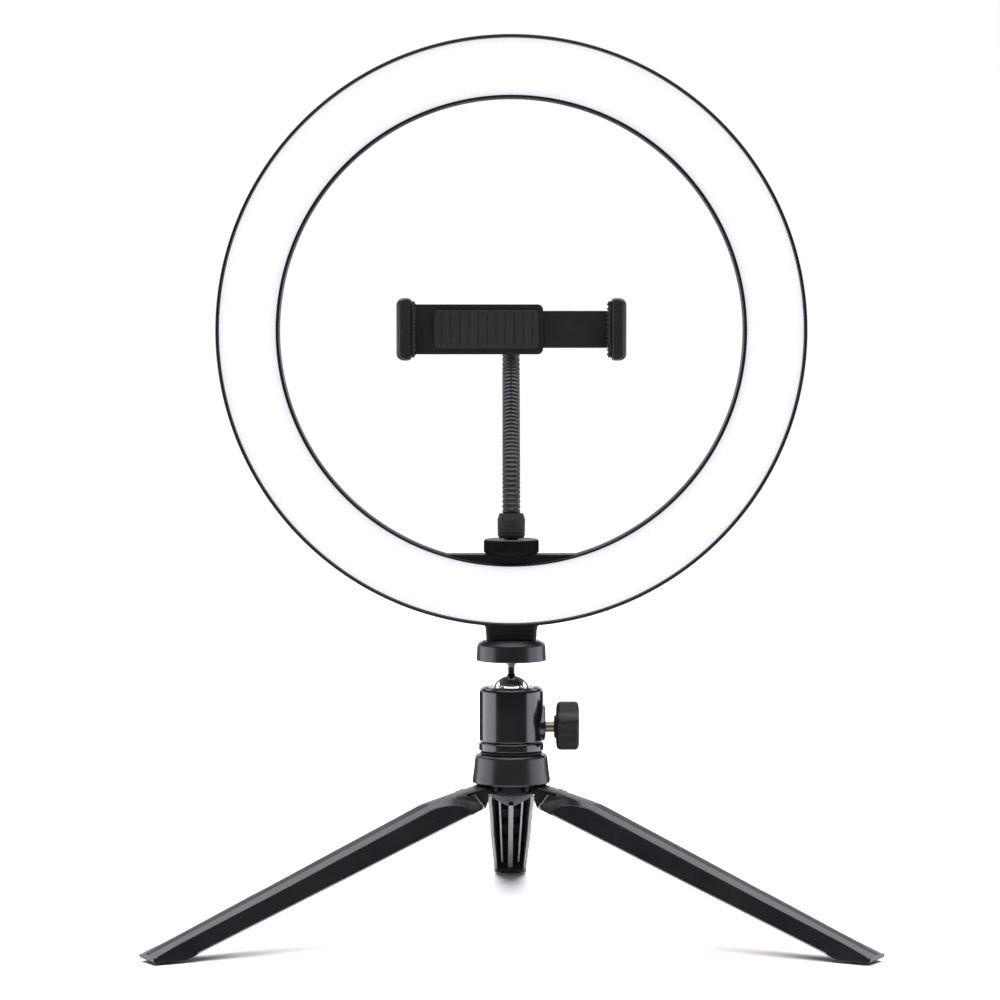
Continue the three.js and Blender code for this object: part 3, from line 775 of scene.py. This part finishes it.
def leg_loop(s, closed_inside):
    """The leg's section: outside up over the top and down, then back along the inside.

    Closed inside, the channel has no depth, so that stretch of the leg is solid.
    """
    low, high = leg_under(s), leg_top(s)
    edge = max(0.02, 1 - along(SHOULDER_DROP, s) / (high - low))
    soft = min(0.16 / (high - low), 0.3 * edge)
    rim = min(0.17 / (high - low), 0.1 * edge)
    profile = [(0, 0.3), (rim, 0.09), (4.4 * rim, 0), (max(0.4 * edge, 5.4 * rim), 0), (0.7 * edge, 0)]
    profile += [(edge - soft, 0), (edge, 0.05), (edge + soft, 0)]
    profile += [(edge + (1 - edge) * t, 0) for t in (0.3, 0.6, 0.86, 0.97)] + [(1, 0.25)]
    skin = []
    for side in (-1, 1):
        half = [leg_point(s, height, side, wall) for height, wall in profile]
        skin += half if side < 0 else half[::-1]
    u, _, z = leg_point(s, 1, 1)
    skin.insert(len(profile), (u, 0, z + 0.05))
    inner = []
    for side in (1, -1):
        half = []
        for height in (0, 0.3, 0.6, 0.78):
            half.append(leg_point(s, 0 if closed_inside else height, side, 1.7 + 0.2 * height))
        inner += half if side > 0 else half[::-1]
    return skin + inner


def leg_shell():
    """The leg's skin, open below as far as the foot, which is solid and ends in a blunt point."""
    stations = [15, 15.6, 16.5, 17.5, 18.5, 19.5, 20.5, 21.5, 22.5, 23.5, 24.5, 25.5]
    stations += [u for u, _ in SHOULDER_DROP if u < 43] + [43.4, 45, 47, 50, 54, 58]
    stations += [58 + (157 - 58) * k / 18 for k in range(1, 19)]
    loops = [leg_loop(s, False) for s in stations]
    loops.append(leg_loop(157.2, True))
    for s in (159, 162.3, 164, 167, 170, 173, 175):
        loops.append(leg_loop(s, True))
    for s, lift in ((176.2, 0), (176.9, 0.15), (177.35, 0.5), (177.6, 1.0)):
        loops.append([(u - 0.045 * abs(y), y * (1 - 0.05 * lift), z if z > 2.6 else z + lift * 0.8)
                      for u, y, z in leg_loop(s, True)])
    return rings(loops)


def leg_ribs():
    """The ribs inside: one broad, two thin that draw together towards the foot, and low walls across."""
    broad = (0, 1.1, 37, 157.5, 1)
    thin = [(side, 0.4, 29.5, 145, 2.4) for side in (-1, 1)]
    parts = []
    for side, half, first, last, drop in (broad, *thin):
        loops = []
        for u in (first, 43.4, 60, 80, 100, 120, 130, last):
            y, low, high = side * (5.2 - (u - 25) * 0.0104), leg_under(u) + 0.8, leg_top(u) - drop
            loops.append([(u, y - half, low), (u, y + half, low), (u, y + half, high), (u, y - half, high)])
        parts.append(rings(loops))
    for u in (62, 90, 118):
        low, high = leg_under(u) + 5.5, leg_top(u) - 2.2
        wide, narrow = leg_width(u, low) - 1.2, leg_width(u, high) - 1.2
        corners = [(-wide, low), (wide, low), (narrow, high), (-narrow, high)]
        parts.append(rings([[(u + side * 0.35, y, z) for y, z in corners] for side in (-1, 1)]))
    return parts


def leg_root():
    """The solid knuckle round the pin."""
    outline = [on_circle(3, 75 + 170 * k / 24, PIVOT_U, PIVOT_Z) for k in range(25)]
    outline += [(15.2, 61.3), (25.5, 61.3), (25.5, 62.1), (15, 63.9)]
    return cut(prism_y(outline, -5.8, 5.8), rod_y(PIN_HOLE_R, -12, 12, PIVOT_U, PIVOT_Z))


def leg_web():
    """The curved wall that closes the channel behind the root, with its small hole."""
    wall, deepest = 1.3, 37
    loops = []
    for k in range(33):
        y = -9 + 18 * k / 32
        u = deepest - 1.15 * math.sqrt(y * y + 0.5) - 0.093 * y * y
        low, high = leg_under(u) + 0.25, leg_top(u) - 1.2
        loops.append([(u, y, low), (u + wall, y, low), (u + wall, y, high), (u, y, high)])
    hole = moved(rod(1.15, -6, 6), shift(deepest, 0, 50.7) @ TO_X)
    return cut(rings(loops), hole)


# The slanting line across a leg's sides, in u and z, where they end and the dark pivot begins; the shell behind
# it is painted black as painted shade.
ROOT_END = (18.9, 56)
ROOT_END_NORMAL = (0.826, -0.564)
# How wide the painted highlight along it is.
ROOT_END_EDGE = 0.42
# Where the solid foot begins, which is all one material.
FOOT_U = 158


def scored(mesh):
    """The leg with edges along both sides of the painted highlight line, for the material slots to follow."""
    out, up = ROOT_END_NORMAL
    for offset in (0, ROOT_END_EDGE):
        bmesh.ops.bisect_plane(
            mesh,
            geom=mesh.verts[:] + mesh.edges[:] + mesh.faces[:],
            dist=1e-6,
            plane_co=(ROOT_END[0] + offset * out, 0, ROOT_END[1] + offset * up),
            plane_no=(out, 0, up),
        )
    return mesh


def leg_slot(centre, normal):
    """The material slot of a leg's face.

    1 is a painted highlight on the rims, the ribs, the curved wall and the line at the root's end, 2 is black
    that is painted shade on the inside and behind that line, 3 is a copy with a dimmer sheen, painted as shade
    on the root's sides, 4 is a painted highlight along the lower edges, and 0 is for the rest.
    """
    u, y, z = centre
    if u > FOOT_U:
        return 0
    above = z - leg_under(u)
    height = above / (leg_top(u) - leg_under(u))
    outside = abs(y) > leg_width(u, z) - 2.6 and normal.y * y > 0
    past_end = (u - ROOT_END[0]) * ROOT_END_NORMAL[0] + (z - ROOT_END[1]) * ROOT_END_NORMAL[1]
    # Painted shade behind the root's end line, and a painted highlight along the line itself.
    if outside and height < 0.87 and u < 24 and past_end < ROOT_END_EDGE:
        return 2 if past_end < 0 else 1
    # Painted highlight: the pale strip along the lower edges.
    if outside and 0.17 < above < 0.78:
        return 4
    # Painted highlight on the rims, the ribs and the curved wall.
    if above < 0.5 or (normal.z < -0.5 and above < 1.3) or (normal.x < -0.35 and u < 36.9):
        return 1
    # Painted shade on the inside of the channel.
    if not outside and z < leg_top(u) - 0.8:
        return 2
    # Painted shade: the root's sides take the copy with the dimmer sheen.
    return 3 if u < 30 and normal.z < 0.85 else 0


def build_leg(name, azimuth):
    turn = about_z(azimuth)
    body = "leg_" + name
    finishes = [LEG_EDGE_HIGHLIGHT, BLACK_AND_SHADE, LEG_ROOT_SHADED, LEG_LINE_HIGHLIGHT]
    shell = cut(leg_shell(), prism(rectangle(163.7, 175.3, -4.9, 4.9), -1, 2.2))
    shell = moved(assigned(scored(join(shell, leg_web(), *leg_ribs())), leg_slot), turn)
    piece(f"leg_shell_{name}", shell, LEG, body, [body], "leg_grey", more=finishes)
    piece(f"leg_root_{name}", moved(leg_root(), turn), BLACK_AND_SHADE, body, [], "leg_grey", bevel=0.25, steps=2)
    grooves = [prism(rectangle(u, u + 0.6, -6, 6), -0.5, 0.5) for u in (166, 168, 170, 172)]
    pad = moved(cut(prism(rectangle(164, 175, -4.6, 4.6), 0.02, 1.9), *grooves), turn)
    piece(f"foot_{name}", pad, RUBBER, body, [f"foot_pad_{name}"], "rubber_black", bevel=0.15, steps=2)
    pin = turned([(0, -7.2), (1.2, -7.2), (1.5, -6.9), (1.5, 6.9), (1.2, 7.2), (0, 7.2)], 40, 0.1)
    pin = moved(pin, turn @ shift(PIVOT_U, 0, PIVOT_Z) @ TO_Y)
    piece(f"hinge_pin_{name}", pin, PIN_STEEL, "tripod_hub", [f"leg_pin_{name}"], "steel")


def hexagon(r):
    return [on_circle(r, a) for a in range(0, 360, 60)]


def build_hub():
    """The core with a slot for each leg, its cover, and the bolt up through both."""
    core = [
        (0, 59.9), (10.4, 59.9), (11.6, 60.4), (12.6, 61.6), (13.9, 64.2), (13.9, 74.6), (13, 75.5), (0, 75.5),
    ]
    cutters = [rod(STUD_HOLE_R, 50, 80), rod(5.4, 50, 66.3)]
    for azimuth in LEGS.values():
        turn = about_z(azimuth)
        cutters.append(moved(prism(rectangle(7.6, 20, -6.1, 6.1), 50, 67.3), turn))
        cutters.append(moved(rod(PIN_HOLE_R, -12, 12), turn @ shift(PIVOT_U, 0, PIVOT_Z) @ TO_Y))
    core = cut(turned(core, 96, 0.5), *cutters)
    piece("hub_block", core, BLACK_AND_SHADE, "tripod_hub", ["hub_core"], "matt_black", bevel=0.25, steps=2)
    cover = turned(
        [
            (STUD_HOLE_R, 77.8), (STUD_HOLE_R, 75.9), (14.5, 75.9), (15.7, 65), (16.9, 65), (17.2, 65.5),
            (17.15, 66.8), (16.5, 71.5), (16.1, 75.5), (15.9, 77), (15.3, 77.8),
        ],
        128, 0.5,
    )
    piece("hub_cap", cover, HUB, "tripod_hub", ["hub_cover"], "leg_grey")
    bolt = join(cut(prism(hexagon(5), 63, 66.1), prism(hexagon(2.3), 62, 65)), threaded(66, 82.9))
    piece("hub_bolt", bolt, STEEL, "tripod_hub", ["hub_stud"], "steel", bevel=0.12, steps=2)


# ---- Phone holder ----
def toothed(r, depth, teeth, inset):
    """A circle with rounded teeth, worn down to r - inset."""
    per_tooth = 6
    count = teeth * per_tooth
    points = []
    for k in range(count):
        a = 2 * math.pi * k / count
        tooth = min(r - depth * (0.5 - 0.5 * math.cos(teeth * a)), r - inset)
        points.append((tooth * math.cos(a), tooth * math.sin(a)))
    return points


def build_wheel():
    """The lock wheel: milled round its rim, dished on top, its sides painted darker than its top as painted
    shade.
    """
    stations = [
        (166.8, 1.0), (166.85, 0.9), (167.2, 0.4), (167.8, 0),
        (172.2, 0), (172.8, 0.4), (173.15, 0.9), (173.2, 1.0),
    ]
    loops = [[(x, y, z) for x, y in toothed(12.2, 0.55, 60, inset)] for z, inset in stations]
    dish = turned([(0, 172.9), (9, 172.9), (10, 174), (0, 174)], 96, 0.05)
    wheel = cut(rings(loops), rod(STUD_HOLE_R, 160, 180), dish)
    # Faces that don't face up take the black material: painted shade on the wheel's sides.
    wheel = assigned(wheel, lambda centre, normal: int(normal.z < 0.5))
    options = {"bevel": 0.1, "steps": 2, "angle": 50, "more": [BLACK_AND_SHADE]}
    piece("knurled_wheel", wheel, SATIN, "wheel", ["lock_wheel"], "satin_black", **options)


def build_ferrules():
    """The ribbed cup at the foot of the hose, and the ferrule at its tip with three grooves."""
    cup = [(0, 179), (STUD_HOLE_R, 179), (STUD_HOLE_R, 173.5), (5.2, 173.5), (5.7, 174)]
    for k in range(5):
        z = 174.6 + 1.35 * k
        cup += [(5.75 + 0.1 * k, z), (6.1, z + 0.2), (6.1, z + 0.95), (5.75 + 0.1 * k, z + 1.15)]
    cup += [(6.1, 182), (5.3, 184.5), (4.35, 184.5), (4.35, 179.8), (0, 179.8)]
    piece("hose_cup", turned(cup, 96, 0.12), MATT, "hose_lower", ["base_ferrule"], "matt_black")
    tip = [(0, 20.4), (2.2, 20.4), (2.2, 22.8), (4.4, 22.8), (5.2, 23.6)]
    for k in range(3):
        tip += [(5.2, 24.6 + 1.6 * k), (4.85, 24.8 + 1.6 * k), (4.85, 25.3 + 1.6 * k), (5.2, 25.5 + 1.6 * k)]
    tip += [(5.2, 30), (4.8, 30.4), (4.35, 30.4), (4.35, 25.2), (0, 25.2)]
    tip = turned_y(tip, 0, CLAMP_Z, segments=96, radius=0.12)
    piece("hose_tip_ferrule", tip, MATT, "hose_upper", ["top_ferrule"], "matt_black")


HOSE_R = 4
LEAN = math.radians(42)
BEND = (23.9, 223.9)


def along_hose(distance):
    """The (y, z) of a point on the hose's straight stretch, from the bend point."""
    return BEND[0] + distance * math.sin(LEAN), BEND[1] + distance * math.cos(LEAN)


def hose_path():
    """The gooseneck's centre line: up, back, straight past the bend point, and over to the clamp."""
    foot_r, top_r = 40, 13
    points = [(0, 180.1)]
    points += [on_circle(foot_r, a, foot_r, 182) for a in range(180, 137, -1)]
    points.append(along_hose(26))
    points += [on_circle(top_r, a, 32.3, CLAMP_Z - top_r) for a in range(-42, 91, 2)]
    points.append((25.6, CLAMP_Z))
    return points


def evenly(points, step):
    """The same line with a point every step."""
    out = [points[0]]
    left = step
    for (y0, z0), (y1, z1) in zip(points, points[1:]):
        length = math.hypot(y1 - y0, z1 - z0)
        done = 0.0
        while length - done >= left:
            done += left
            left = step
            out.append((y0 + (y1 - y0) * done / length, z0 + (z1 - z0) * done / length))
        left -= length - done
    return out


def build_hose():
    """One ribbed hose over both of the CAD's lengths, round the bend."""
    step, pitch, groove, blend = 0.36, 2.16, 0.45, 14
    path = evenly(hose_path(), step)
    radii = []
    for i in range(len(path)):
        phase = (i * step / pitch) % 1.0
        radii.append(HOSE_R - groove * (1 - abs(math.sin(math.pi * phase))) ** 1.5)
    lengths = ["gooseneck_lower", "gooseneck_upper"]
    hose = piece("gooseneck_hose", sweep(path, radii), SATIN, None, lengths, "satin_black")
    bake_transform(hose)


SMALL_BALL_R = 6
SOCKET_R = 6.35


def clamp_bar(x0, x1, half_height, radius, y0, y1):
    """A rounded bar along Y, level with the clamp's middle."""
    return prism_y(rounded_rectangle(x0, x1, CLAMP_Z - half_height, CLAMP_Z + half_height, radius), y0, y1)


def build_clamp_joint():
    """The small ball at the hose's tip, and the nut round it."""
    near, far = CLAMP_BALL_Y - SMALL_BALL_R, CLAMP_BALL_Y + SMALL_BALL_R
    ball = [(0, near)] + sphere_arc(SMALL_BALL_R, CLAMP_BALL_Y, -86, 86, 32) + [(0, far)]
    ball = turned_y(ball, 0, CLAMP_Z, segments=64, radius=0.01)
    piece("small_ball", ball, CHROME, "clamp_ball", ["top_ball"], "chrome")
    loops = []
    for y, inset in ((7.4, 0.8), (7.7, 0.35), (8.3, 0), (15.8, 0), (16.4, 0.35), (17.7, 0.9), (18.3, 1.9)):
        loops.append([(x, y, CLAMP_Z + z) for x, z in toothed(9.2, 0.5, 36, inset)])
    hollow = [(0, 6), (7.4, 6), (7.4, 13.6), (SOCKET_R, 14)] + sphere_arc(SOCKET_R, CLAMP_BALL_Y, 4, 44, 10)
    hollow += [(4.5, 19), (0, 19)]
    nut = cut(rings(loops), turned_y(hollow, 0, CLAMP_Z, segments=96, radius=0.05))
    piece("clamp_nut", nut, MATT, "clamp", ["socket_nut"], "matt_black", bevel=0.12, steps=2, angle=50)


def build_clamp():
    """The clamp's body with its fixed jaw and socket, the sliding jaw on its tongue, and their pads."""
    build_clamp_joint()
    seat = [(0, 4), (7, 4), (7, 13.3)] + sphere_arc(SOCKET_R, CLAMP_BALL_Y, -7, -89.9, 12)
    seat = turned_y(seat + [(0, CLAMP_BALL_Y - SOCKET_R)], 0, CLAMP_Z, segments=96, radius=0.2)
    channel = prism(rectangle(-41, 20, -0.5, 3.5), CLAMP_Z - 8.6, CLAMP_Z + 8.6)
    recess = clamp_bar(-36, -14, 6, 2, 4.6, 6)
    body = join(cut(clamp_bar(-46, 14, 11, 2.4, -2, 5), channel, recess), jaw_block(-1), seat)
    piece("clamp_frame", body, SATIN, "clamp", ["clamp_body"], "satin_black", bevel=0.3)
    tongue = cut(clamp_bar(-8, 46, 8.2, 1, -0.2, 3.2), clamp_bar(-12, 36, 3, 1.5, 0.8, 4))
    slider = join(tongue, jaw_block(1))
    piece("jaw_slider", slider, SATIN, "jaw", ["sliding_jaw"], "satin_black", bevel=0.3)
    for side, body_name, node in ((-1, "clamp", "jaw_pad_fixed"), (1, "jaw", "jaw_pad_sliding")):
        pad = jaw_rubber(side)
        piece(f"{node}_rubber", pad, RUBBER, body_name, [node], "rubber_black", bevel=0.12, steps=2)
    piece("back_rubber", back_rubber(), RUBBER, "clamp", ["back_pad"], "rubber_black", bevel=0.1, steps=2)
    build_spring()


def jaw_outline(side, inset, outer):
    """The jaw seen from the front, with wide corners on its outer side, which sits in by outer."""
    x_in, x_out = 43.8 + inset, 50.4 - inset - outer
    half_height, wide, narrow = 13.7, 3.2, 1.8
    corners = ((x_out, wide, -1, 270), (x_out, wide, 1, 0), (x_in, narrow, 1, 90), (x_in, narrow, -1, 180))
    points = []
    for x, r, top, start in corners:
        r = max(0.5, r - inset)
        cx = x - r if x == x_out else x + r
        cz = CLAMP_Z + top * (half_height - inset - r)
        points += [on_circle(r, start + 15 * k, cx, cz) for k in range(7)]
    return [(side * x, z) for x, z in points]


def jaw_block(side):
    """One jaw: a rounded upright with a long soft bevel down its outer side."""
    levels = [
        (-14, 0.9, 1.5), (-13.8, 0.5, 1.2), (-13.2, 0.15, 0.75), (-12.2, 0, 0.3), (-11, 0, 0), (2, 0, 0),
        (4, 0.1, 0), (4.7, 0.5, 0), (5, 1.2, 0),
    ]
    loops = []
    for y, inset, outer in levels:
        loops.append([(x, y, z) for x, z in jaw_outline(side, inset, outer)])
    return rings(loops)


def jaw_rubber(side):
    """A pad with rounded ridges across it, which face the phone."""
    face, behind = side * 42.0, side * 43.55
    valley = face + side * 0.5
    low, high = CLAMP_Z - 12.3, CLAMP_Z + 12.3
    points = [(behind, low), (valley, low)]
    for k in range(12):
        z = CLAMP_Z - 11.6 + 2.0 * k
        points += [(valley, z), (face, z + 0.35), (face, z + 0.85), (valley, z + 1.2)]
    points += [(valley, high), (behind, high)]
    return prism_y(points, -13, -3.6)


def back_rubber():
    """The flat pad behind the phone, with upright grooves."""
    grooves = [prism(rectangle(x, x + 0.6, -4, -3), CLAMP_Z - 7, CLAMP_Z + 7) for x in range(-31, 10, 4)]
    return cut(clamp_bar(-34, 12, 8.5, 2, -3.3, -2.3), *grooves)


def build_spring():
    """A flattened coil in the body's channel."""
    turns, per_turn, sides = 40, 16, 10
    start_x, length, wire_r = -38, 71, 0.32
    loops = []
    count = turns * per_turn
    for i in range(count + 1):
        a = 2 * math.pi * i / per_turn
        x = start_x + length * i / count
        outward = Vector((0, math.cos(a), math.sin(a)))
        centre = Vector((x, 2 + 0.75 * math.cos(a), CLAMP_Z + 1.9 * math.sin(a)))
        loop = []
        for k in range(sides):
            b = 2 * math.pi * k / sides
            loop.append(tuple(centre + outward * wire_r * math.cos(b) + Vector((wire_r * math.sin(b), 0, 0))))
        loops.append(loop)
    spring = piece("pull_spring", rings(loops), SPRING_STEEL, "clamp", ["tension_spring"], "steel")
    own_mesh(spring)


# ---- Stage ----
def floor_sheet(name, outline, height, material, mirrored):
    """A flat sheet of floor. Only a mirrored one shows in the gloss of the pieces above it."""
    mesh = bmesh.new()
    mesh.faces.new([mesh.verts.new((x, y, height)) for x, y in outline])
    data = bpy.data.meshes.new(name)
    mesh.to_mesh(data)
    mesh.free()
    sheet = bpy.data.objects.new(name, data)
    bpy.context.scene.collection.objects.link(sheet)
    data.materials.append(material)
    sheet.visible_glossy = mirrored


def build_stage():
    """A pale floor just below the feet, and a round of it nearby that shows in glossy pieces."""
    material, nodes, shader = surface("studio_floor", (0.92, 0.92, 0.92), 0.6, specular=0.0)
    fibre = noise(material, nodes, 30, 4)
    shade = tint(material, nodes, fibre, (0.915, 0.915, 0.915), (0.925, 0.925, 0.925))
    link(material, shade, shader.inputs["Base Color"])
    wide, near_r = 30.0, 0.36
    floor_sheet("floor", rectangle(-wide, wide, -wide, wide), -0.0005, material, False)
    near = [on_circle(near_r, 5 * k, HUB_X, HUB_Y) for k in range(72)]
    floor_sheet("floor_near", near, -0.0004, material, True)


def area_light(name, place, aim, size, power):
    """A rectangular soft box that the camera doesn't see."""
    light = bpy.data.lights.new(name, "AREA")
    light.shape = "RECTANGLE"
    light.size, light.size_y = size
    light.energy = power
    light.color = (0.95, 0.91, 1.0)
    made = bpy.data.objects.new(name, light)
    made.location = place
    made.rotation_euler = (Vector(aim) - Vector(place)).to_track_quat("-Z", "Y").to_euler()
    made.visible_camera = False
    bpy.context.scene.collection.objects.link(made)


def build_lights():
    """Soft boxes low at both sides, above and level behind, a wide soft sun, and a white world.

    The camera sees the world at full strength, and the pieces are lit by a twentieth of it.
    """
    area_light("left_box", at(-1300, 66, 0), at(0, 66, 0), (1.75, 0.62), 11)
    area_light("right_box", at(1300, 66, 0), at(0, 66, 0), (1.75, 0.62), 10)
    area_light("top_box", at(0, 650, 1500), at(0, 300, 0), (4.2, 1.7), 62)
    area_light("back_box", at(0, 1300, 330), at(0, 0, 330), (2.6, 0.5), 5.5)
    sun = bpy.data.lights.new("sky", "SUN")
    sun.energy = 3.45
    sun.angle = math.radians(70)
    sky = bpy.data.objects.new("sky", sun)
    sky.rotation_euler = (math.radians(14), 0, 0)
    bpy.context.scene.collection.objects.link(sky)
    world = bpy.data.worlds.new("studio")
    bpy.context.scene.world = world
    world.use_nodes = True
    backdrop = world.node_tree.nodes["Background"]
    backdrop.inputs["Color"].default_value = (1, 1, 1, 1)
    seen = world.node_tree.nodes.new("ShaderNodeLightPath")
    level = world.node_tree.nodes.new("ShaderNodeMapRange")
    level.inputs["To Min"].default_value = 0.05
    level.inputs["To Max"].default_value = 1.0
    world.node_tree.links.new(seen.outputs["Is Camera Ray"], level.inputs["Value"])
    world.node_tree.links.new(level.outputs["Result"], backdrop.inputs["Strength"])


def build_camera():
    """A long lens in front of the lamp, a little above its middle height, looking slightly down."""
    camera = bpy.data.cameras.new("camera")
    camera.lens = 130.5
    camera.sensor_width = 36
    camera.clip_start = 0.05
    camera.clip_end = 50
    made = bpy.data.objects.new("camera", camera)
    made.location = at(-5, -1600, 265)
    made.rotation_euler = (math.radians(90 - 2.67), 0, 0)
    bpy.context.scene.collection.objects.link(made)
    bpy.context.scene.camera = made
    bpy.context.scene.view_settings.view_transform = "Standard"


build_lamp()
build_base()
build_head()
build_knob()
build_ball_and_platform()
build_hub()
for leg_name, leg_azimuth in LEGS.items():
    build_leg(leg_name, leg_azimuth)
build_wheel()
build_ferrules()
build_hose()
build_clamp()
build_stage()
build_lights()
build_camera()
